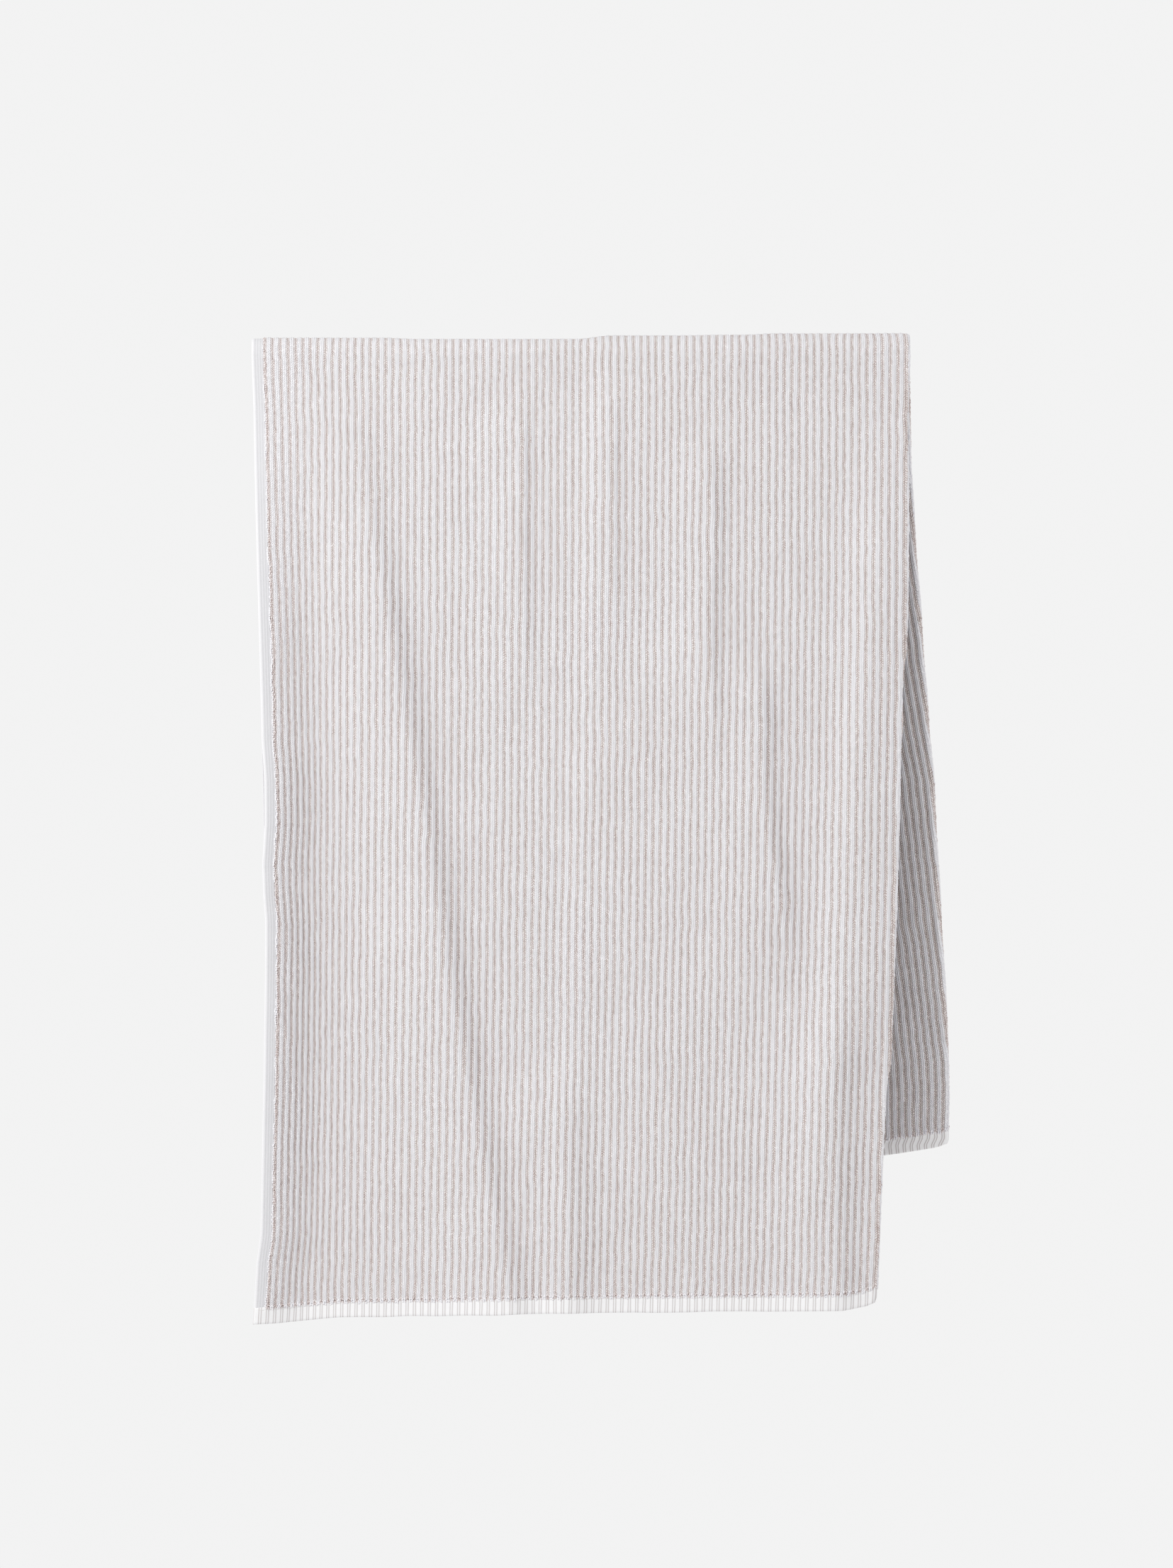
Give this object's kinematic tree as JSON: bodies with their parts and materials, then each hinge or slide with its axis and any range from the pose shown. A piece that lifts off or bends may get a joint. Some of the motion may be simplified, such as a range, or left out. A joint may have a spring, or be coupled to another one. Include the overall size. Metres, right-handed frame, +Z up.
{
  "type": "bath towel",
  "caption": "Striped terry bath towel folded lengthwise and draped over a round rail, with flat-woven selvedges, sewn hems and two hangs that lift.",
  "frame": {"origin": "on the rail's axis, midway along the wall that lies on the rail", "axes": "+X along the rail towards the lengthwise fold, -Y towards the long front hang, +Z up"},
  "size_m": [0.5442, 0.0814, 0.7712],
  "materials": {
    "striped_terry": "looped cotton terry in narrow grey and white stripes, matt and soft",
    "selvedge_weave": "flat white cotton weave with fine ribs, matt",
    "hem_weave": "flat white cotton twill with pairs of thin grey lines, matt",
    "thread": "white spun polyester sewing thread"
  },
  "bodies": {
    "saddle": {"saddle_outer_terry": "striped_terry", "saddle_outer_selvedge": "selvedge_weave", "saddle_fold": "striped_terry", "saddle_under_terry": "striped_terry", "saddle_under_selvedge": "selvedge_weave"},
    "front": {"front_outer_terry": "striped_terry", "front_outer_selvedge": "selvedge_weave", "front_fold": "striped_terry", "front_under_terry": "striped_terry", "front_under_selvedge": "selvedge_weave", "front_outer_hem": "hem_weave", "front_hem_fold": "hem_weave", "front_under_hem": "hem_weave", "front_outer_stitching": "thread", "front_under_stitching": "thread"},
    "back": {"back_outer_terry": "striped_terry", "back_outer_selvedge": "selvedge_weave", "back_fold": "striped_terry", "back_under_terry": "striped_terry", "back_under_selvedge": "selvedge_weave", "back_outer_hem": "hem_weave", "back_hem_fold": "hem_weave", "back_under_hem": "hem_weave", "back_outer_stitching": "thread", "back_under_stitching": "thread"}
  },
  "joints": [
    {"name": "front_lift", "type": "hinge", "parent": "saddle", "child": "front", "pos_m": [0, -0.0138, 0], "axis": [-1, 0, 0], "range_deg": [0, 85]},
    {"name": "back_lift", "type": "hinge", "parent": "saddle", "child": "back", "pos_m": [0, 0.0138, 0], "axis": [1, 0, 0], "range_deg": [0, 85]}
  ]
}
